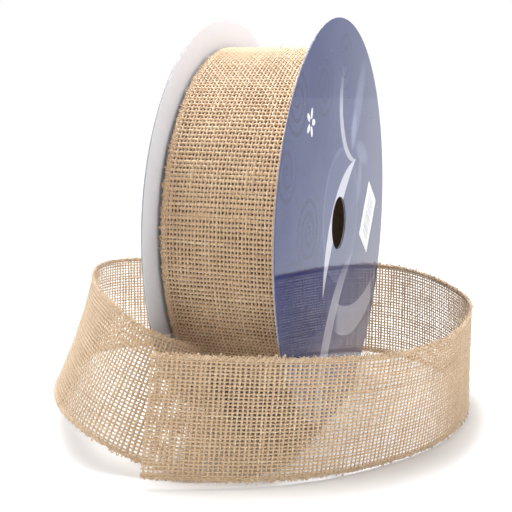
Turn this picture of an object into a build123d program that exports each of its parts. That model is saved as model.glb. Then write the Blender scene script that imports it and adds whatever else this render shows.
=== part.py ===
"""Wired burlap ribbon on a two-flange paperboard spool, with a length of ribbon paid out round it.

Frame, in millimetres: the origin is the centre of the spindle hole, +X runs along the spool's axis
towards the printed flange, +Z is up and the spool stands on its rims at z = -FLANGE_D / 2.
Two groups: the spool with its wound ribbon turns about X, the paid-out tail stands on the floor.
"""
from build123d import *
import math
import os

# ---- spool: two paperboard flanges on a core tube -------------------------------------------
FLANGE_D = 228.6          # 9 inch flange
HOLE_D = 30.2             # 1-3/16 inch spindle hole through both flanges
FLANGE_GAP = 66.8         # clear width between the two flanges
BOARD_T = 0.6             # grey chipboard
PAPER_T = 0.15            # printed or plain paper glued over each face of the board
PAPER_D = FLANGE_D - 0.3  # the paper is die-cut just inside the board's rim
RIM_R = 0.12              # crushed edge left by the die
CORE_D = 76.2             # 3 inch core tube
CORE_WALL = 3.0
HALF_GAP = FLANGE_GAP / 2

# ---- price label on the printed face --------------------------------------------------------
LABEL_L = 39.0
LABEL_W = 26.0
LABEL_T = 0.12
LABEL_Y = 71.0
LABEL_Z = -6.8
LABEL_TURN = 53.0

# ---- ribbon ---------------------------------------------------------------------------------
RIBBON_W = 63.5           # 2-1/2 inch ribbon
CLOTH_T = 1.2             # two jute threads thick
WOUND_D = 197.4           # outside of the wound turns
ROLL_SHIFT = 0.6          # the turns sit against the printed flange
WIRE_D = 0.5              # florist wire carried in each selvedge
WIRE_INSET = 2.0          # wire centre to the ribbon's edge
WIRE_CLEAR = 0.08         # wire to cloth face
FLOOR = -FLANGE_D / 2

# Stations along the paid-out ribbon, from where it leaves the roll to the cut end.
# Each is: lower edge x, y, its height above the floor, then the ribbon's lean from upright
# and the compass heading of that lean, both in degrees.
STATIONS = [
    (31.75, 30, 19.0, 90, 180),
    (31.75, 14, 15.4, 90, 180),
    (31.75, -8, 12.1, 90, 180),
    (31.75, -34, 8.4, 90, 180),
    (31.75, -60, 4.6, 90, 180),
    (28.5, -84, 2.7, 73, 164),
    (15.5, -104.5, 1.5, 51, 138),
    (-6.5, -117.5, 2.4, 31.5, 105),
    (-33.0, -122, 7.8, 22, 56),
    (-58.0, -122.5, 16.5, 24.5, 29),
    (-80.5, -112, 22.0, 27, 30),
    (-103.0, -86.5, 20.6, 28.5, 36),
    (-124.5, -52.5, 15.2, 26, 36),
    (-142.0, -17.5, 9.6, 21, 33),
    (-151.0, 15, 6.2, 12.5, 32),
    (-151.0, 42, 5.4, 6, 56),
    (-140.5, 64, 4.4, 8.5, 109),
    (-120.0, 83, 2.8, 12.5, 116),
    (-91.0, 100, 1.6, 13.5, 112),
    (-56.5, 113, 1.0, 12, 107),
    (-19.0, 120.5, 1.3, 9, 102),
    (18.0, 121, 2.4, 5.5, 100),
    (51.5, 113, 3.2, 1.5, 140),
    (79.0, 94.5, 2.4, 3, 218),
    (98.0, 66.5, 1.7, 3, 221),
    (107.5, 33.5, 1.8, 1.5, 244),
    (107.0, -1, 1.5, 2.5, 311),
    (97.0, -35, 0.8, 7, 328),
    (78.0, -65.5, 1.0, 9.5, 331),
    (52.5, -93.5, 1.7, 6.5, 342),
    (17.0, -116.5, 3.2, 4.5, 374),
    (-28.0, -133.5, 5.4, 6, 386),
]
SPANS = 3                 # sections per station


def natural_spline(values, steps):
    """Evaluate the natural cubic through evenly spaced values, with steps points per span."""
    n = len(values)
    bend = [0.0] * n
    diag = [4.0] * n
    rhs = [0.0] * n
    for i in range(1, n - 1):
        rhs[i] = 6.0 * (values[i - 1] - 2.0 * values[i] + values[i + 1])
    for i in range(2, n - 1):
        w = 1.0 / diag[i - 1]
        diag[i] = 4.0 - w
        rhs[i] = rhs[i] - w * rhs[i - 1]
    for i in range(n - 2, 0, -1):
        bend[i] = (rhs[i] - bend[i + 1]) / diag[i]
    out = []
    for k in range((n - 1) * steps + 1):
        i = min(k // steps, n - 2)
        t = k / steps - i
        a = 1.0 - t
        cubic = ((a ** 3 - a) * bend[i] + (t ** 3 - t) * bend[i + 1]) / 6.0
        out.append(a * values[i] + t * values[i + 1] + cubic)
    return out


def edge_points():
    """Points along the ribbon's lower and upper edges."""
    lower = []
    upper = []
    for x, y, lift, lean, heading in STATIONS:
        tilt = math.radians(lean)
        turn = math.radians(heading)
        foot = Vector(x, y, FLOOR + lift)
        across = Vector(math.sin(tilt) * math.cos(turn), math.sin(tilt) * math.sin(turn), math.cos(tilt))
        lower.append(foot)
        upper.append(foot + across * RIBBON_W)
    low = zip(*[natural_spline([tuple(p)[k] for p in lower], SPANS) for k in range(3)])
    high = zip(*[natural_spline([tuple(p)[k] for p in upper], SPANS) for k in range(3)])
    return [Vector(*p) for p in low], [Vector(*p) for p in high]


LOWER, UPPER = edge_points()


def frame_at(i):
    """Middle, width direction and face normal of the ribbon at section i."""
    middle = (LOWER[i] + UPPER[i]) * 0.5
    across = (UPPER[i] - LOWER[i]).normalized()
    before = max(i - 1, 0)
    after = min(i + 1, len(LOWER) - 1)
    along = (LOWER[after] + UPPER[after]) - (LOWER[before] + UPPER[before])
    normal = along.cross(across).normalized()
    return middle, across, normal


def ribbon_sections():
    planes = []
    for i in range(len(LOWER)):
        middle, across, normal = frame_at(i)
        planes.append(Plane(origin=middle, x_dir=across, z_dir=across.cross(normal)))
    return planes


def wire_sections(side):
    """Planes of the selvedge wire, centred on the face that looks into the loop."""
    planes = []
    offset = RIBBON_W / 2 - WIRE_INSET
    rise = CLOTH_T / 2 + WIRE_D / 2 + WIRE_CLEAR
    for i in range(1, len(LOWER) - 1):
        middle, across, normal = frame_at(i)
        centre = middle + across * (side * offset) + normal * rise
        planes.append(Plane(origin=centre, x_dir=across, z_dir=across.cross(normal)))
    return planes


# ---- paid-out ribbon, standing on the floor -------------------------------------------------
with BuildPart() as ribbon_tail:
    for section in ribbon_sections():
        with BuildSketch(section):
            Rectangle(RIBBON_W, CLOTH_T)
    loft()

WIRES = {}
for wire_name, wire_side in (("tail_wire_lower", -1), ("tail_wire_upper", 1)):
    with BuildPart() as wire:
        for section in wire_sections(wire_side):
            with BuildSketch(section):
                Rectangle(WIRE_D, WIRE_D)
        loft()
    WIRES[wire_name] = wire


# ---- spool ----------------------------------------------------------------------------------
def flange_disc(x_from, thickness, diameter, rounded):
    """A holed disc square to X, from x_from towards +X."""
    with BuildPart() as disc:
        with BuildSketch(Plane.YZ.offset(x_from)):
            Circle(diameter / 2)
            Circle(HOLE_D / 2, mode=Mode.SUBTRACT)
        extrude(amount=thickness)
        if rounded:
            rims = disc.edges().filter_by(GeomType.CIRCLE).filter_by(lambda e: e.radius > diameter / 3)
            fillet(rims, RIM_R)
    return disc


NEAR = HALF_GAP + PAPER_T
FAR = NEAR + BOARD_T
FLANGE_OUT = FAR + PAPER_T

printed_flange_board = flange_disc(NEAR, BOARD_T, FLANGE_D, True)
printed_flange_liner = flange_disc(HALF_GAP, PAPER_T, PAPER_D, False)
printed_flange_facing = flange_disc(FAR, PAPER_T, PAPER_D, False)
plain_flange_board = flange_disc(-FAR, BOARD_T, FLANGE_D, True)
plain_flange_liner = flange_disc(-NEAR, PAPER_T, PAPER_D, False)
plain_flange_facing = flange_disc(-FLANGE_OUT, PAPER_T, PAPER_D, False)

with BuildPart() as price_label:
    with BuildSketch(Plane.YZ.offset(FLANGE_OUT)):
        with Locations((LABEL_Y, LABEL_Z)):
            RectangleRounded(LABEL_L, LABEL_W, 1.5, rotation=LABEL_TURN)
    extrude(amount=LABEL_T)

with BuildPart() as core_tube:
    with BuildSketch(Plane.YZ.offset(-HALF_GAP)):
        Circle(CORE_D / 2)
        Circle(CORE_D / 2 - CORE_WALL, mode=Mode.SUBTRACT)
    extrude(amount=FLANGE_GAP)

with BuildPart() as wound_ribbon:
    with BuildSketch(Plane.YZ.offset(ROLL_SHIFT - RIBBON_W / 2)):
        Circle(WOUND_D / 2)
        Circle(CORE_D / 2, mode=Mode.SUBTRACT)
    extrude(amount=RIBBON_W)

# ---- write one file per piece ---------------------------------------------------------------
PIECES = {
    "ribbon_tail": ribbon_tail,
    "tail_wire_lower": WIRES["tail_wire_lower"],
    "tail_wire_upper": WIRES["tail_wire_upper"],
    "wound_ribbon": wound_ribbon,
    "core_tube": core_tube,
    "printed_flange_board": printed_flange_board,
    "printed_flange_liner": printed_flange_liner,
    "printed_flange_facing": printed_flange_facing,
    "plain_flange_board": plain_flange_board,
    "plain_flange_liner": plain_flange_liner,
    "plain_flange_facing": plain_flange_facing,
    "price_label": price_label,
}
os.makedirs("parts", exist_ok=True)
for label, piece in PIECES.items():
    piece.part.label = label
    export_step(piece.part, "parts/" + label + ".step")
    print(label, "volume", round(piece.part.volume / 1000, 2), "cm3")
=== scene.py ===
"""Looks of the wired burlap ribbon spool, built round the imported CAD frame. Metres, seeded, no files read."""
import bpy
import math
import numpy as np
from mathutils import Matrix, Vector


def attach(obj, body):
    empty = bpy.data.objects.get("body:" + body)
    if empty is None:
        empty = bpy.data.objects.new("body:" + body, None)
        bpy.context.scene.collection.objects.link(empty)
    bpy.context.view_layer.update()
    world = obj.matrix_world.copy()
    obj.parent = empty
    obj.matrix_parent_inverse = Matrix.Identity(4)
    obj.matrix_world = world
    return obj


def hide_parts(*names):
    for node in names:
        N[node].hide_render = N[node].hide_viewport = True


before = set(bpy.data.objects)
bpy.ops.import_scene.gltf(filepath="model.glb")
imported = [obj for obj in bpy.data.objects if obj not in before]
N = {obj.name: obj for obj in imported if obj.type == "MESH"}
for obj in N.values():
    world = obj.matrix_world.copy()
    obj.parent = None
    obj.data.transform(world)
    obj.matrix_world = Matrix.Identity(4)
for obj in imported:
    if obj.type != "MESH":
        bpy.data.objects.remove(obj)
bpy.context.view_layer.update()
MM = 0.001

# ------------------------------------------------------------------ sizes, as in the part
W = 63.5
FLOOR = -114.3
ROLL_R = 98.7
CORE_R = 38.1
ROLL_SHIFT = 0.6
WIRE_R = 0.25
WIRE_IN = 1.15            # edge wires, in from the edges
LABEL_Y, LABEL_Z, LABEL_TURN = 71.0, -6.8, 53.0
STATIONS = [
    (31.75, 30, 19.0, 90, 180),
    (31.75, 14, 15.4, 90, 180),
    (31.75, -8, 12.1, 90, 180),
    (31.75, -34, 8.4, 90, 180),
    (31.75, -60, 4.6, 90, 180),
    (28.5, -84, 2.7, 73, 164),
    (15.5, -104.5, 1.5, 51, 138),
    (-6.5, -117.5, 2.4, 31.5, 105),
    (-33.0, -122, 7.8, 22, 56),
    (-58.0, -122.5, 16.5, 24.5, 29),
    (-80.5, -112, 22.0, 27, 30),
    (-103.0, -86.5, 20.6, 28.5, 36),
    (-124.5, -52.5, 15.2, 26, 36),
    (-142.0, -17.5, 9.6, 21, 33),
    (-151.0, 15, 6.2, 12.5, 32),
    (-151.0, 42, 5.4, 6, 56),
    (-140.5, 64, 4.4, 8.5, 109),
    (-120.0, 83, 2.8, 12.5, 116),
    (-91.0, 100, 1.6, 13.5, 112),
    (-56.5, 113, 1.0, 12, 107),
    (-19.0, 120.5, 1.3, 9, 102),
    (18.0, 121, 2.4, 5.5, 100),
    (51.5, 113, 3.2, 1.5, 140),
    (79.0, 94.5, 2.4, 3, 218),
    (98.0, 66.5, 1.7, 3, 221),
    (107.5, 33.5, 1.8, 1.5, 244),
    (107.0, -1, 1.5, 2.5, 311),
    (97.0, -35, 0.8, 7, 328),
    (78.0, -65.5, 1.0, 9.5, 331),
    (52.5, -93.5, 1.7, 6.5, 342),
    (17.0, -116.5, 3.2, 4.5, 374),
    (-28.0, -133.5, 5.4, 6, 386),
]


# ------------------------------------------------------------------ the paid-out ribbon's surface
def unit(v):
    """The same vectors at length 1."""
    return v / np.linalg.norm(v, axis=-1, keepdims=True)


def place(name, data):
    """A new object for a mesh, light or camera, in the scene."""
    o = bpy.data.objects.new(name, data)
    bpy.context.scene.collection.objects.link(o)
    return o


def natural_bend(v):
    """Second derivatives of the natural cubic through evenly spaced rows of v."""
    n = len(v)
    a = np.eye(n)
    b = np.zeros_like(v)
    for i in range(1, n - 1):
        a[i, i - 1:i + 2] = (1, 4, 1)
        b[i] = 6 * (v[i - 1] - 2 * v[i] + v[i + 1])
    return np.linalg.solve(a, b)


def edges():
    low, high = [], []
    for x, y, lift, lean, heading in STATIONS:
        t, h = math.radians(lean), math.radians(heading)
        foot = np.array([x, y, FLOOR + lift])
        low.append(foot)
        high.append(foot + W * np.array([math.sin(t) * math.cos(h), math.sin(t) * math.sin(h), math.cos(t)]))
    return np.array(low), np.array(high)


LOW, HIGH = edges()
LOW_B, HIGH_B = natural_bend(LOW), natural_bend(HIGH)


def spline(v, bend, u):
    i = np.clip(np.floor(u).astype(int), 0, len(v) - 2)
    t = (u - i)[..., None]
    a = 1 - t
    return a * v[i] + t * v[i + 1] + ((a ** 3 - a) * bend[i] + (t ** 3 - t) * bend[i + 1]) / 6


_u = np.linspace(0, len(LOW) - 1, 4000)
_m = (spline(LOW, LOW_B, _u) + spline(HIGH, HIGH_B, _u)) / 2
_s = np.concatenate([[0], np.cumsum(np.linalg.norm(np.diff(_m, axis=0), axis=1))])
TAIL_L = float(_s[-1])


def tail_surface(s, w):
    """Point, along, across and normal of the paid-out ribbon at length s and width w, in mm."""
    u = np.interp(np.clip(s, 0, TAIL_L), _s, _u)
    e = 1e-3
    lo, hi = spline(LOW, LOW_B, u), spline(HIGH, HIGH_B, u)
    u0, u1 = np.clip(u - e, 0, len(LOW) - 1), np.clip(u + e, 0, len(LOW) - 1)
    k = (w / W)[..., None]
    across = unit(hi - lo)
    p0 = spline(LOW, LOW_B, u0) * (1 - k) + spline(HIGH, HIGH_B, u0) * k
    p1 = spline(LOW, LOW_B, u1) * (1 - k) + spline(HIGH, HIGH_B, u1) * k
    along = unit(p1 - p0)
    normal = unit(np.cross(along, across))
    past = (s - np.clip(s, 0, TAIL_L))[..., None]
    return lo * (1 - k) + hi * k + along * past, along, across, normal


def roll_surface(radius):
    """The same for a turn of the wound ribbon of that radius."""
    def surface(s, w):
        a = s / radius
        z = np.zeros_like(a)
        out = np.stack([z, np.cos(a), np.sin(a)], -1)
        along = np.stack([z, -np.sin(a), np.cos(a)], -1)
        across = np.stack([z + 1, z, z], -1)
        point = out * radius
        point[..., 0] = w - W / 2 + ROLL_SHIFT
        return point, along, across, out
    return surface


# ------------------------------------------------------------------ yarns
def wander(n, step, size, r, rows=1):
    """Smooth random values, rows x n, changing over about step samples."""
    knots = r.normal(0, size, (rows, int(n / step) + 4))
    x = np.linspace(0, knots.shape[1] - 1.001, n)
    i = x.astype(int)
    t = x - i
    t = t * t * (3 - 2 * t)
    return knots[:, i] * (1 - t) + knots[:, i + 1] * t


def tubes(name, centre, side, up, half_w, half_t, tint, mat, sides=4, closed=False):
    """One mesh of many yarns: arrays (yarns, samples, 3), with their half widths and thicknesses in mm."""
    k, n = centre.shape[:2]
    turn = np.arange(sides) * 2 * math.pi / sides
    ring = (centre[:, :, None]
            + side[:, :, None] * (half_w[..., None] * np.cos(turn))[..., None]
            + up[:, :, None] * (half_t[..., None] * np.sin(turn))[..., None])
    ring[..., 2] = ring[..., 2].clip(min=FLOOR)
    verts = ring.reshape(-1, 3) * MM
    yarn = np.arange(k)[:, None, None] * n * sides
    step = n if closed else n - 1
    i = np.arange(step)[None, :, None]
    j = np.arange(sides)[None, None, :]
    j2 = (j + 1) % sides
    i2 = (i + 1) % n
    here, there = yarn + i * sides, yarn + i2 * sides
    quads = np.stack([here + j, here + j2, there + j2, there + j], -1)
    faces = quads.reshape(-1, 4).tolist()
    if not closed:
        first = (np.arange(k)[:, None] * n * sides + np.arange(sides)[::-1]).tolist()
        last = (np.arange(k)[:, None] * n * sides + (n - 1) * sides + np.arange(sides)).tolist()
        faces += first + last
    mesh = bpy.data.meshes.new(name)
    mesh.from_pydata(verts.tolist(), [], faces)
    mesh.polygons.foreach_set("use_smooth", np.ones(len(mesh.polygons), bool))
    shade = mesh.attributes.new("tint", "FLOAT", "POINT")
    shade.data.foreach_set("value", np.repeat(tint.reshape(-1), sides).astype(np.float32))
    mesh.materials.append(mat)
    return place(name, mesh)


PITCH_S = 2.38            # weft yarns along the ribbon
# warp yarns across it: the open cloth, and two close ones in each selvedge
BODY = np.linspace(2.9, W - 2.9, 31)
ENDS = np.concatenate([[0.8, 1.7], BODY, [W - 1.7, W - 0.8]])
RISE = 0.27               # each yarn's rise and fall at a crossing
WEFT_T = 0.30             # half thickness of a weft yarn
STITCH = 1.3              # overcast stitches along the edge
LOOPS = 1.75              # loose loops along the edge
HAIR_R = 0.10


def slubs(k, n, r, share, gain):
    """Thick places in yarns: multipliers, k x n."""
    out = np.ones((k, n))
    for _ in range(int(k * n * share)):
        y, x = r.integers(k), r.integers(n)
        wide = r.uniform(2.5, 8)
        out[y] += gain * r.uniform(0.4, 1) * np.exp(-((np.arange(n) - x) / wide) ** 2)
    return out


def weave(prefix, surface, length, mat, seed, closed=False, warp_w=0.545, weft_w=0.62,
          warp_t=0.36, loose=1.0, samples=2):
    """Warp and weft of one length of open jute cloth on a surface."""
    r = np.random.default_rng(seed)
    picks = int(round(length / PITCH_S / 2)) * 2
    pitch = length / picks
    # warp: along the ribbon
    n = picks * samples + (0 if closed else 1)
    k = len(ENDS)
    s = np.tile(np.arange(n) * pitch / samples, (k, 1))
    drift = (wander(n, 14 * samples, 0.09, r, k) + wander(n, 60 * samples, 0.09, r, k)) * loose
    if closed:
        fade = np.clip(np.minimum(np.arange(n), n - np.arange(n)) / 20, 0, 1)
        drift *= fade
    edge = np.clip(np.minimum(ENDS, W - ENDS) / 4.0, 0.15, 1)[:, None]
    w = ENDS[:, None] + drift * edge
    p, along, across, normal = surface(s, w)
    phase = (np.arange(k) % 2)[:, None] * math.pi
    shift = 0 if closed else 0.5
    h = RISE * np.cos(math.pi * (s / pitch - shift) + phase)
    fatness = slubs(k, n, r, 0.0009, 0.75)
    thick = (1 + wander(n, 5 * samples, 0.13, r, k)) * fatness
    each = r.normal(0, 0.28 * loose, (k, 1))
    tint = each + wander(n, 9 * samples, 0.4, r, k) + (fatness - 1) * 1.5
    half_w = warp_w * thick.clip(0.6, 2.0)
    warp = tubes(prefix + "_warp", p + normal * h[..., None], across, normal, half_w,
                 warp_t * thick.clip(0.7, 1.35) ** 0.5, tint, mat, closed=closed)
    # weft: across the ribbon
    k2 = picks
    cols = np.linspace(0, len(ENDS) - 1, (len(ENDS) - 1) * samples + 1)
    w2 = np.interp(cols, np.arange(len(ENDS)), ENDS)
    w2[0], w2[-1] = 0.55, W - 0.55
    n2 = len(cols)
    s2 = (np.arange(k2)[:, None] + (0 if closed else 0.5)) * pitch
    stray = r.normal(0, 0.09, (k2, 1))
    stray = stray + wander(n2, 9 * samples, 0.09, r, k2) + wander(n2, 30 * samples, 0.10, r, k2)
    s2 = s2 + stray * loose
    p, along, across, normal = surface(s2, np.tile(w2, (k2, 1)))
    odd = (np.arange(k2) % 2)[:, None] * math.pi
    h2 = -RISE * np.cos(math.pi * cols[None, :] + odd)
    fatness = slubs(k2, n2, r, 0.0009, 0.7)
    thick = (1 + wander(n2, 6 * samples, 0.13, r, k2)) * fatness
    tint = r.normal(0, 0.32 * loose, (k2, 1)) + wander(n2, 9 * samples, 0.35, r, k2) + (fatness - 1) * 1.5
    weft = tubes(prefix + "_weft", p + normal * h2[..., None], along, normal,
                 weft_w * thick.clip(0.6, 2.0), WEFT_T * thick.clip(0.7, 1.35) ** 0.5,
                 tint, mat)
    return [warp, weft]


def overcast(name, surface, length, mat, seed, closed=False):
    """The stitched edge: flat slanting stitches of thread round the edge wire, on both edges."""
    r = np.random.default_rng(seed)
    loops = int(length / STITCH)
    per = 8
    n = loops * per + (0 if closed else 1)
    s = np.arange(n) * length / (loops * per)
    rows = []
    for flip in (0, 1):
        a = 2 * math.pi * np.arange(n) / per
        reach = 0.85 + np.repeat(r.normal(0, 0.22, loops + 1), per)[:n]
        w = 0.90 - np.cos(a) * reach
        if flip:
            w = W - w
        h = 0.60 * np.sin(a) * (1 if flip else -1)
        jitter = np.repeat(r.normal(0, 0.22, loops + 1), per)[:n]
        jitter = jitter - np.cos(a) * (1 + 0.3 * wander(n, 40, 1.0, r)[0])
        p, along, across, normal = surface(s + jitter, w)
        rows.append((p + normal * h[:, None], along, normal, across))
    c = np.stack([q[0] for q in rows])
    d = unit(np.gradient(c, axis=1))
    along = np.stack([q[1] for q in rows])
    side = unit(along - (along * d).sum(-1, keepdims=True) * d)
    up = np.cross(d, side)
    thick = 1 + wander(n, 5, 0.28, r, 2)
    tint = wander(n, 6, 0.7, r, 2) - 0.1
    return tubes(name, c, side, up, 0.37 * thick.clip(0.5, 1.7), 0.23 * thick.clip(0.6, 1.5), tint, mat,
                 closed=closed)


def nubs(name, surface, length, mat, seed, proud=1.5):
    """Ends and loops of the weft yarns standing out of the stitched edges."""
    r = np.random.default_rng(seed)
    count = int(length / LOOPS)
    t = np.linspace(0, math.pi, 7)
    rows = []
    for flip in (0, 1):
        s0 = (np.arange(count) + r.uniform(-0.45, 0.45, count))[:, None] * length / count
        reach = r.gamma(2.2, 0.27, (count, 1)).clip(0.08, 1.5)
        half = r.uniform(0.3, 0.8, (count, 1))
        s = s0 - half * np.cos(t) + r.normal(0, 0.5, (count, 1)) * np.sin(t)
        w = 0.75 - (reach + 0.75) * np.sin(t)
        h = (r.normal(0, 0.45, (count, 1)) + r.normal(0, 0.3, (count, 1)) * np.sin(t)).clip(max=proud)
        p, along, across, normal = surface(s, W - w if flip else w)
        rows.append((p + normal * h[..., None], normal))
    c = np.concatenate([q[0] for q in rows])
    d = unit(np.gradient(c, axis=1))
    up = np.concatenate([q[1] for q in rows])
    side = unit(np.cross(d, up))
    up = np.cross(side, d)
    fat = r.uniform(0.20, 0.36, (2 * count, 1)) * np.ones((1, 7))
    tint = r.normal(-0.4, 0.6, (2 * count, 1)) * np.ones((1, 7))
    return tubes(name, c, side, up, fat, fat, tint, mat)


def fuzz(name, roots, outs, lengths, mat, seed):
    """Loose jute fibres: short bent hairs."""
    r = np.random.default_rng(seed)
    k, n = len(roots), 4
    t = np.linspace(0, 1, n)
    bend = r.normal(0, 0.55, (k, 3))
    d = unit(outs)
    reach = lengths[:, None, None]
    c = roots[:, None] + d[:, None] * (t[None, :, None] * reach)
    c = c + bend[:, None] * (t ** 2)[None, :, None] * reach * 0.7
    side = unit(np.cross(d, r.normal(0, 1, (k, 3))))
    up = np.cross(d, side)
    rad = HAIR_R * (1 - 0.75 * t)[None, :] * r.uniform(0.7, 1.3, (k, 1))
    tint = np.tile(r.normal(-0.9, 0.6, (k, 1)), (1, n))
    side = np.tile(side[:, None], (1, n, 1))
    up = np.tile(up[:, None], (1, n, 1))
    return tubes(name, c, side, up, rad, rad, tint, mat, sides=3)


# ------------------------------------------------------------------ materials
def material(name, base, rough):
    """A plain material, its node tree and its shader."""
    m = bpy.data.materials.new(name)
    m.use_nodes = True
    b = m.node_tree.nodes["Principled BSDF"]
    b.inputs["Base Color"].default_value = (*base, 1)
    b.inputs["Roughness"].default_value = rough
    return m, m.node_tree, b


class Graph:
    """Small helper for writing shader sums."""

    def __init__(self, tree):
        self.t = tree
        self.n = tree.nodes
        self.l = tree.links

    def put(self, socket, v):
        if isinstance(v, (int, float)):
            socket.default_value = v
        elif isinstance(v, tuple):
            socket.default_value = v if len(v) == len(socket.default_value) else (*v, 1)
        else:
            self.l.new(v, socket)

    def math(self, op, a, b=None, c=None, clamp=False):
        x = self.n.new("ShaderNodeMath")
        x.operation = op
        x.use_clamp = clamp
        self.put(x.inputs[0], a)
        if b is not None:
            self.put(x.inputs[1], b)
        if c is not None:
            self.put(x.inputs[2], c)
        return x.outputs[0]

    def step(self, v, lo, hi, a=0.0, b=1.0):
        """0 below lo to 1 above hi, smoothly."""
        x = self.n.new("ShaderNodeMapRange")
        x.interpolation_type = "SMOOTHSTEP"
        self.put(x.inputs[0], v)
        for i, q in enumerate((lo, hi, a, b)):
            x.inputs[i + 1].default_value = q
        return x.outputs[0]

    def mix(self, f, a, b, kind="MIX"):
        x = self.n.new("ShaderNodeMix")
        x.data_type = "RGBA"
        x.blend_type = kind
        self.put(x.inputs[0], f)
        self.put(x.inputs[6], a)
        self.put(x.inputs[7], b)
        return x.outputs[2]

    def noise(self, scale, detail=2.0, rough=0.5, vector=None, stretch=None):
        x = self.n.new("ShaderNodeTexNoise")
        x.inputs["Scale"].default_value = scale
        x.inputs["Detail"].default_value = detail
        x.inputs["Roughness"].default_value = rough
        src = vector or self.coords()
        if stretch:
            m = self.n.new("ShaderNodeVectorMath")
            m.operation = "MULTIPLY"
            self.l.new(src, m.inputs[0])
            m.inputs[1].default_value = stretch
            src = m.outputs[0]
        self.l.new(src, x.inputs["Vector"])
        return x.outputs[0]

    def coords(self):
        if not hasattr(self, "_c"):
            self._c = self.n.new("ShaderNodeTexCoord").outputs["Object"]
        return self._c

    def bump(self, height, strength, distance, target):
        x = self.n.new("ShaderNodeBump")
        x.inputs["Strength"].default_value = strength
        x.inputs["Distance"].default_value = distance
        self.l.new(height, x.inputs["Height"])
        self.l.new(x.outputs[0], target)


def jute(name, light, mid, dark, sheen):
    """Jute yarn: three tones mixed by each yarn's tint and by noise."""
    m, tree, b = material(name, mid, 0.65)
    b.inputs["Specular IOR Level"].default_value = 0.5 if sheen else 0.05
    b.inputs["Sheen Weight"].default_value = sheen
    b.inputs["Sheen Roughness"].default_value = 0.45
    b.inputs["Sheen Tint"].default_value = (1.0, 0.96, 0.90, 1)
    g = Graph(tree)
    a = g.n.new("ShaderNodeAttribute")
    a.attribute_name = "tint"
    fine = g.math("SUBTRACT", g.noise(900, 3.0, 0.6), 0.5)
    v = g.math("ADD", a.outputs["Fac"], g.math("MULTIPLY", fine, 2.6))
    v = g.math("ADD", v, g.math("MULTIPLY", g.math("SUBTRACT", g.noise(45, 2.0), 0.5), 1.6))
    c = g.mix(g.step(v, -1.6, 0.1), light, mid)
    c = g.mix(g.step(v, 0.3, 2.2), c, dark)
    g.l.new(c, b.inputs["Base Color"])
    g.bump(g.noise(2600, 2.0), 0.35, 0.0002, b.inputs["Normal"])
    return m


JUTE = jute("jute", (0.69, 0.52, 0.335), (0.56, 0.375, 0.215), (0.355, 0.21, 0.105), 0.8)
WOUND = jute("jute_wound", (0.70, 0.505, 0.31), (0.555, 0.355, 0.19), (0.355, 0.20, 0.09), 0.8)
# painted shade: the second and inner turns are the same jute in darker, redder tones with no sheen, standing
# for the shade inside the roll
JUTE_PAINTED_SHADE = jute("jute_inner_turns_painted_shade", (0.42, 0.20, 0.075), (0.31, 0.135, 0.045), (0.19, 0.075, 0.025), 0.0)
WIRE = material("wire", (0.50, 0.45, 0.38), 0.35)[0]
WIRE.node_tree.nodes["Principled BSDF"].inputs["Metallic"].default_value = 1.0


# ------------------------------------------------------------------ paid-out ribbon
parts_tail = weave("tail", tail_surface, TAIL_L, JUTE, 3, warp_w=0.50, weft_w=0.61, warp_t=0.40)
tail_edge = overcast("tail_selvedge", tail_surface, TAIL_L, JUTE, 5)
tail_nubs = nubs("tail_edge_loops", tail_surface, TAIL_L, JUTE, 41)


def wire_tube(name, w):
    """An edge wire at width w, running inside the stitches."""
    n = 700
    s = np.linspace(0.3, TAIL_L - 0.3, n)[None]
    p, along, across, normal = tail_surface(s, np.full_like(s, w))
    half = np.full((1, n), WIRE_R)
    return tubes(name, p, across, normal, half, half, np.zeros((1, n)), WIRE, sides=8)


wires = [wire_tube("tail_edge_wire_low", WIRE_IN), wire_tube("tail_edge_wire_high", W - WIRE_IN)]


def edge_roots(surface, length, count, seed):
    """Where the hairs along the two stitched edges start, their directions and lengths."""
    r = np.random.default_rng(seed)
    s = r.uniform(0, length, count)
    flip = r.integers(0, 2, count)
    w = np.where(flip, W - 0.2, 0.2) + r.normal(0, 0.35, count)
    p, along, across, normal = surface(s, w)
    sign = np.where(flip, 1, -1)[:, None]
    h = r.normal(0, 0.5, count)[:, None]
    out = across * sign * r.uniform(0.35, 1.2, (count, 1)) + normal * r.normal(0, 0.7, (count, 1))
    out = out + along * r.normal(0, 0.8, (count, 1))
    return p + normal * h, out, r.uniform(0.6, 1.7, count) * r.uniform(0.5, 1.6, count)


def face_roots(surface, length, count, seed, outward):
    """The same for hairs on the faces: on both, or only on the outer one."""
    r = np.random.default_rng(seed)
    s = r.uniform(0, length, count)
    w = r.uniform(1, W - 1, count)
    p, along, across, normal = surface(s, w)
    sign = np.ones((count, 1)) if outward else np.where(r.integers(0, 2, (count, 1)), 1.0, -1.0)
    out = normal * sign * r.uniform(0.0, 0.25 if outward else 0.45, (count, 1))
    out = out + across * r.normal(0, 0.8, (count, 1)) + along * r.normal(0, 0.8, (count, 1))
    return p + normal * sign * 0.30, out, r.uniform(1.0, 2.8, count)


def hairs(name, surface, length, edge_n, face_n, seed, outward, mat):
    """All the loose fibres of one length of cloth."""
    a = edge_roots(surface, length, edge_n, seed)
    b = face_roots(surface, length, face_n, seed + 1, outward)
    roots, outs, lengths = (np.concatenate(pair) for pair in zip(a, b))
    return fuzz(name, roots, outs, lengths, mat, seed + 2)


tail_fuzz = hairs("tail_fuzz", tail_surface, TAIL_L, 5000, 8000, 21, False, JUTE)

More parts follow.
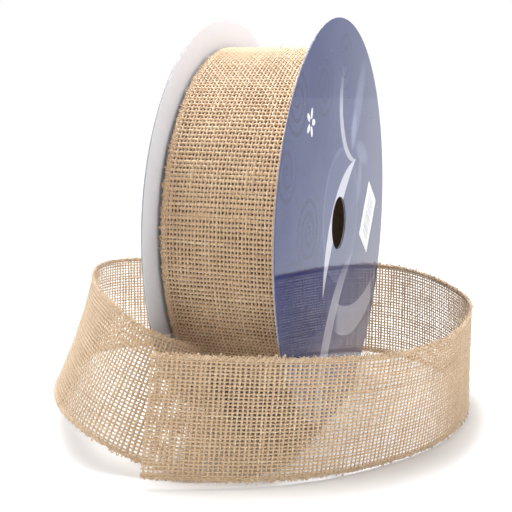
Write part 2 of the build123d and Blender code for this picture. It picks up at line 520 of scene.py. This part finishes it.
# ------------------------------------------------------------------ wound roll
TURN = 1.25               # thickness of one turn
OUTER = ROLL_R - 0.62     # middle of the outermost turn
ROUND = 2 * math.pi * OUTER
outer_turn = roll_surface(OUTER)
parts_roll = weave("roll", outer_turn, ROUND, WOUND, 8, closed=True, weft_w=0.76, loose=0.8)
roll_edge = overcast("roll_selvedge", outer_turn, ROUND, WOUND, 9, closed=True)
roll_nubs = nubs("roll_edge_loops", outer_turn, ROUND, WOUND, 42, proud=0.1)
UNDER = OUTER - TURN
# the second turn, seen through the outer turn's holes, in the painted-shade jute
parts_under = weave("roll_second_turn", roll_surface(UNDER), 2 * math.pi * UNDER, JUTE_PAINTED_SHADE, 14,
                    closed=True, weft_w=0.74, samples=1)
roll_fuzz = hairs("roll_fuzz", outer_turn, ROUND, 3600, 5000, 31, True, WOUND)


def inner_turns():
    """The rest of the roll: turned ring whose side faces show the edge of every turn, in the painted-shade
    jute.
    """
    top = UNDER - 0.75
    turns = int((top - CORE_R) / 1.2)
    rr = np.linspace(top, CORE_R + 0.05, turns * 4 + 1)
    r = np.random.default_rng(2)
    dent = np.repeat(r.normal(0, 0.18, turns + 1), 4)[:len(rr)]
    side = W / 2 - 0.25 - 0.35 * (1 - np.cos(np.arange(len(rr)) * math.pi / 2)) - np.abs(dent)
    prof = np.array([(x, q) for x, q in zip(side, rr)] + [(-x, q) for x, q in zip(side[::-1], rr[::-1])])
    prof[:, 0] += ROLL_SHIFT
    seg = 160
    a = np.arange(seg) * 2 * math.pi / seg
    k = len(prof)
    cos, sin = np.cos(a)[:, None], np.sin(a)[:, None]
    verts = np.stack([np.tile(prof[:, 0], (seg, 1)), prof[:, 1] * cos, prof[:, 1] * sin], -1)
    verts = verts.reshape(-1, 3) * MM
    i, j = np.meshgrid(np.arange(seg), np.arange(k), indexing="ij")
    i2, j2 = (i + 1) % seg, (j + 1) % k
    faces = np.stack([i * k + j, i * k + j2, i2 * k + j2, i2 * k + j], -1).reshape(-1, 4)
    mesh = bpy.data.meshes.new("roll_inner_turns")
    mesh.from_pydata(verts.tolist(), [], faces.tolist())
    mesh.polygons.foreach_set("use_smooth", np.ones(len(mesh.polygons), bool))
    at = mesh.attributes.new("tint", "FLOAT", "POINT")
    shade = np.random.default_rng(4).normal(0, 0.5, k)
    at.data.foreach_set("value", np.tile(shade, seg).astype(np.float32))
    mesh.materials.append(JUTE_PAINTED_SHADE)
    return place("roll_inner_turns", mesh)


turns = inner_turns()

# ------------------------------------------------------------------ flanges, core and label
def printed():
    """Blue litho print under gloss film, with a painted reflection of the cloth low down. Only plain
    flourishes; no mark and no lettering.
    """
    m, tree, b = material("blue_print", (0.1, 0.15, 0.4), 0.035)
    b.inputs["Specular IOR Level"].default_value = 0.17
    g = Graph(tree)
    sep = g.n.new("ShaderNodeSeparateXYZ")
    g.l.new(g.coords(), sep.inputs[0])
    y = g.math("MULTIPLY", sep.outputs[1], 1000.0)
    z = g.math("MULTIPLY", sep.outputs[2], 1000.0)

    def dist(cy, cz):
        dy = g.math("SUBTRACT", y, cy)
        dz = g.math("SUBTRACT", z, cz)
        return g.math("SQRT", g.math("ADD", g.math("MULTIPLY", dy, dy), g.math("MULTIPLY", dz, dz)))

    def inside(d, r, soft):
        return g.step(d, r - soft, r + soft, 1.0, 0.0)

    def both(*masks):
        out = masks[0]
        for q in masks[1:]:
            out = g.math("MULTIPLY", out, q)
        return out

    def without(q):
        return g.math("SUBTRACT", 1.0, q)

    def slope(ky, kz, lo, hi):
        """A soft step across the face in direction (ky, kz)."""
        v = g.math("ADD", g.math("MULTIPLY", y, ky), g.math("MULTIPLY", z, kz))
        return g.step(v, lo, hi)

    def arc(*points):
        """Distance-from-centre value and radius of the circle through three points."""
        (ax, ay), (bx, by), (cx, cy) = points
        d = 2 * (ax * (by - cy) + bx * (cy - ay) + cx * (ay - by))
        qa, qb, qc = ax * ax + ay * ay, bx * bx + by * by, cx * cx + cy * cy
        ox = (qa * (by - cy) + qb * (cy - ay) + qc * (ay - by)) / d
        oy = (qa * (cx - bx) + qb * (ax - cx) + qc * (bx - ax)) / d
        return dist(ox, oy), math.hypot(ax - ox, ay - oy)

    def flourish(outer, inner):
        """A crescent between two arcs that share their ends."""
        do, ro = arc(*outer)
        di, ri = arc(*inner)
        return both(inside(do, ro, 0.5), without(inside(di, ri, 0.5)))

    base = g.mix(slope(0.9, -0.35, -95, 20), (0.010, 0.024, 0.120), (0.034, 0.048, 0.155))
    base = g.mix(slope(1.0, -0.25, -10, 95), base, (0.085, 0.092, 0.180))
    cloud = g.noise(16, 2.0)
    base = g.mix(g.math("MULTIPLY", g.step(cloud, 0.42, 0.68), 0.18), base, (0.13, 0.16, 0.28))
    # painted reflection: below z = -52 mm the print is paled to a brownish grey that stands for the paid-out
    # cloth mirrored in the gloss
    base = g.mix(g.math("MULTIPLY", g.step(z, -52, -84), 0.7), base, (0.205, 0.195, 0.245))
    # faint curls on the left
    curls = ((-80, 72, 19, 1), (-33, 76, 17, -1), (-97, 38, 15, -1), (-91, -26, 23, 1), (-60, 4, 21, -1),
             (8, 92, 17, 1), (-66, -48, 14, 1))
    for cy, cz, size, spin in curls:
        d = dist(cy, cz)
        ang = g.math("ARCTAN2", g.math("SUBTRACT", z, cz), g.math("SUBTRACT", y, cy))
        wind = g.math("ADD", g.math("MULTIPLY", ang, float(spin)), g.math("MULTIPLY", d, 0.95))
        wave = g.math("SINE", wind)
        line = both(g.step(wave, 0.35, 0.9), inside(d, size, 3.0))
        base = g.mix(g.math("MULTIPLY", line, 0.6), base, (0.004, 0.008, 0.05))
    # ring printed over the core
    ring = both(inside(dist(5, 4), 39.0, 0.5), without(inside(dist(5, 4), 37.6, 4.0)))
    base = g.mix(g.math("MULTIPLY", ring, 0.30), base, (0.20, 0.24, 0.40))
    base = g.mix(g.math("MULTIPLY", inside(dist(5, 4), 39.0, 0.6), 0.12), base, (0.22, 0.26, 0.42))
    # soft petals, upper right
    petals = ((41, 66, 60, 27, 9, 0.32), (52, 36, -20, 16, 6, 0.34), (31, 51, 75, 11, 6, 0.42),
              (47, 20, 80, 13, 6, 0.28))
    for cy, cz, turn, long, wide, k in petals:
        c, q = math.cos(math.radians(turn)), math.sin(math.radians(turn))
        dy, dz = g.math("SUBTRACT", y, cy), g.math("SUBTRACT", z, cz)
        u = g.math("DIVIDE", g.math("ADD", g.math("MULTIPLY", dy, c), g.math("MULTIPLY", dz, q)), long)
        v = g.math("DIVIDE", g.math("SUBTRACT", g.math("MULTIPLY", dz, c), g.math("MULTIPLY", dy, q)), wide)
        e = g.math("ADD", g.math("MULTIPLY", u, u), g.math("MULTIPLY", v, v))
        base = g.mix(g.math("MULTIPLY", g.step(e, 0.05, 1.6, 1.0, 0.0), k), base, (0.30, 0.34, 0.50))
    pale = (0.60, 0.60, 0.68)
    # flourish down to the left, passing behind the hole
    f1 = flourish(((35, 33), (-7, 16), (-32, -37)), ((36, 33), (10, 14), (-32, -38)))
    f1 = both(f1, slope(1, 1, -71, -67))
    # short flourish above it
    f2 = flourish(((38, 33), (5, 46), (-2, 74)), ((38, 33), (14, 45), (5, 78)))
    f2 = both(f2, g.step(z, 90, 58), g.step(y, 40, 36))
    # lower flourish
    f3 = flourish(((42, -20), (-13, -43), (-37, -72)), ((42, -20), (4, -46), (-22, -76)))
    f3 = both(f3, g.step(z, -20, -44), g.step(z, -110, -108))
    # banner, left plain
    f4 = flourish(((-6, -63), (43, -74), (90, -62)), ((-2, -47), (43, -56.5), (90, -49)))
    f4 = both(f4, g.step(y, -9, 4), g.step(y, 92, 80))
    for f, k in ((f1, 0.90), (f2, 0.62), (f3, 0.55), (f4, 0.50)):
        base = g.mix(g.math("MULTIPLY", f, k), base, pale)
    # small plain rosette
    turn = g.math("ARCTAN2", g.math("SUBTRACT", z, 60.0), g.math("SUBTRACT", y, -58.0))
    petal = g.math("MULTIPLY", g.math("ABSOLUTE", g.math("COSINE", g.math("MULTIPLY", turn, 2.5))), 8.0)
    spot = dist(-58, 60)
    rosette = both(g.step(g.math("SUBTRACT", petal, spot), 0.0, 0.6), without(inside(spot, 2.2, 0.3)))
    base = g.mix(rosette, base, (0.72, 0.73, 0.80))
    g.l.new(base, b.inputs["Base Color"])
    g.bump(g.noise(300, 1.0, 0.4, stretch=(1.0, 3.0, 0.12)), 0.5, 0.00003, b.inputs["Normal"])
    return m


def paperish(name, colour, rough, speck, scale):
    """Paper or board with a fine fleck."""
    m, tree, b = material(name, colour, rough)
    g = Graph(tree)
    n = g.noise(scale, 4.0, 0.65)
    low = tuple(c * (1 - 2.2 * speck) for c in colour)
    high = tuple(min(1, c * (1 + speck)) for c in colour)
    g.l.new(g.mix(g.step(n, 0.3, 0.7), low, high), b.inputs["Base Color"])
    g.bump(g.noise(scale * 2.5, 2.0), 0.12, 0.0003, b.inputs["Normal"])
    return m


def label_paper():
    """White label with plain uneven bars that carry no code."""
    m, tree, b = material("label_paper", (0.85, 0.85, 0.85), 0.45)
    g = Graph(tree)
    sep = g.n.new("ShaderNodeSeparateXYZ")
    g.l.new(g.coords(), sep.inputs[0])
    y = g.math("SUBTRACT", g.math("MULTIPLY", sep.outputs[1], 1000.0), LABEL_Y)
    z = g.math("SUBTRACT", g.math("MULTIPLY", sep.outputs[2], 1000.0), LABEL_Z)
    c, s = math.cos(math.radians(LABEL_TURN)), math.sin(math.radians(LABEL_TURN))
    u = g.math("ADD", g.math("MULTIPLY", y, c), g.math("MULTIPLY", z, s))
    v = g.math("SUBTRACT", g.math("MULTIPLY", z, c), g.math("MULTIPLY", y, s))
    n = g.n.new("ShaderNodeTexNoise")
    n.noise_dimensions = "1D"
    g.l.new(u, n.inputs["W"])
    n.inputs["Scale"].default_value = 1.5
    n.inputs["Detail"].default_value = 1.0
    bars = g.step(n.outputs[0], 0.50, 0.53)
    box = g.math("MULTIPLY", g.step(g.math("ABSOLUTE", u), 14.0, 14.3, 1.0, 0.0),
                 g.step(g.math("ABSOLUTE", v), 6.8, 7.1, 1.0, 0.0))
    ink = g.math("MULTIPLY", g.math("MULTIPLY", bars, box), 0.8)
    g.l.new(g.mix(ink, (0.84, 0.84, 0.85), (0.25, 0.26, 0.3)), b.inputs["Base Color"])
    return m


WHITE = paperish("white_liner", (0.66, 0.665, 0.70), 0.6, 0.008, 260)
BOARD = paperish("chipboard", (0.20, 0.20, 0.26), 0.9, 0.10, 700)
PLAIN = paperish("plain_facing", (0.56, 0.555, 0.565), 0.55, 0.02, 420)
PALE_BOARD = paperish("pale_chipboard", (0.34, 0.34, 0.37), 0.9, 0.08, 700)
KRAFT = paperish("kraft_core", (0.22, 0.14, 0.08), 0.85, 0.10, 500)
LOOKS = {
    "printed_flange_facing": printed(),
    "printed_flange_liner": WHITE,
    "plain_flange_liner": WHITE,
    "plain_flange_facing": PLAIN,
    "printed_flange_board": BOARD,
    "plain_flange_board": PALE_BOARD,
    "core_tube": KRAFT,
    "price_label": label_paper(),
}
for node, mat in LOOKS.items():
    N[node].data.materials.clear()
    N[node].data.materials.append(mat)

# ------------------------------------------------------------------ bodies and replaced solids
tail_all = parts_tail + [tail_edge, tail_nubs, tail_fuzz] + wires
for o in tail_all:
    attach(o, "paid_out_ribbon")
for o in parts_roll + parts_under + [roll_edge, roll_nubs, roll_fuzz, turns]:
    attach(o, "spool")
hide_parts("ribbon_tail")
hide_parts("tail_wire_lower")
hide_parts("tail_wire_upper")
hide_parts("wound_ribbon")


# ------------------------------------------------------------------ floor, light and camera
def floor():
    """Plain pale floor, a hair below the object so that the two never share a plane."""
    size, drop = 6.0, FLOOR * MM - 0.0004
    mesh = bpy.data.meshes.new("floor")
    corners = [(-size, -size, drop), (size, -size, drop), (size, size, drop), (-size, size, drop)]
    mesh.from_pydata(corners, [], [(0, 1, 2, 3)])
    m = material("floor", (0.95, 0.95, 0.95), 0.9)[0]
    mesh.materials.append(m)
    place("floor", mesh)


def area(name, at, aim, size, power, colour=(1, 1, 1)):
    d = bpy.data.lights.new(name, "AREA")
    d.shape = "RECTANGLE"
    d.size, d.size_y = size
    d.energy = power
    d.color = colour
    o = place(name, d)
    o.location = at
    o.rotation_euler = (Vector(aim) - Vector(at)).to_track_quat("-Z", "Y").to_euler()


def sun(name, direction, strength, spread):
    d = bpy.data.lights.new(name, "SUN")
    d.energy = strength
    d.angle = math.radians(spread)
    place(name, d).rotation_euler = Vector(direction).to_track_quat("-Z", "Y").to_euler()


floor()
sun("overhead", (0.24, -0.10, -1.0), 2.5, 44)
area("softbox", (-0.10, 0.00, 0.58), (0, 0.0, 0), (0.35, 0.30), 1.0)
area("crest", (0.0, 0.035, 0.31), (0, -0.03, 0.09), (0.16, 0.12), 1.15, (0.94, 0.97, 1.0))
area("left", (-1.0, -0.75, 0.45), (0, 0, -0.05), (0.8, 0.8), 2.5, (0.90, 0.96, 1.0))
area("right", (1.15, -0.10, 0.26), (0, 0, -0.05), (0.8, 0.5), 5.0, (0.92, 0.97, 1.0))
area("front", (0.45, -1.1, 0.60), (0.03, 0, -0.05), (0.8, 0.8), 1.7)
world = bpy.data.worlds.new("studio")
bpy.context.scene.world = world
world.use_nodes = True
wn = world.node_tree.nodes
wl = world.node_tree.links
wn["Background"].inputs[0].default_value = (1, 1, 1, 1)
path = wn.new("ShaderNodeLightPath")
# the white surround is full to the eye and in gloss, and dimmer as fill light
level = wn.new("ShaderNodeMapRange")
level.inputs[3].default_value = 1.0
level.inputs[4].default_value = 0.42
wl.new(path.outputs["Is Diffuse Ray"], level.inputs[0])
wl.new(level.outputs[0], wn["Background"].inputs[1])

bpy.context.scene.view_settings.view_transform = "Standard"
cam = bpy.data.cameras.new("camera")
cam.lens = 66.25
cam.clip_start = 0.01
eye = place("camera", cam)
eye.location = (0.1717, -0.5175, 0.0865)
pitch = math.radians(11.22)
look = Vector((-0.3414 * math.cos(pitch), 0.940 * math.cos(pitch), -math.sin(pitch)))
eye.rotation_euler = look.to_track_quat("-Z", "Y").to_euler()
bpy.context.scene.camera = eye
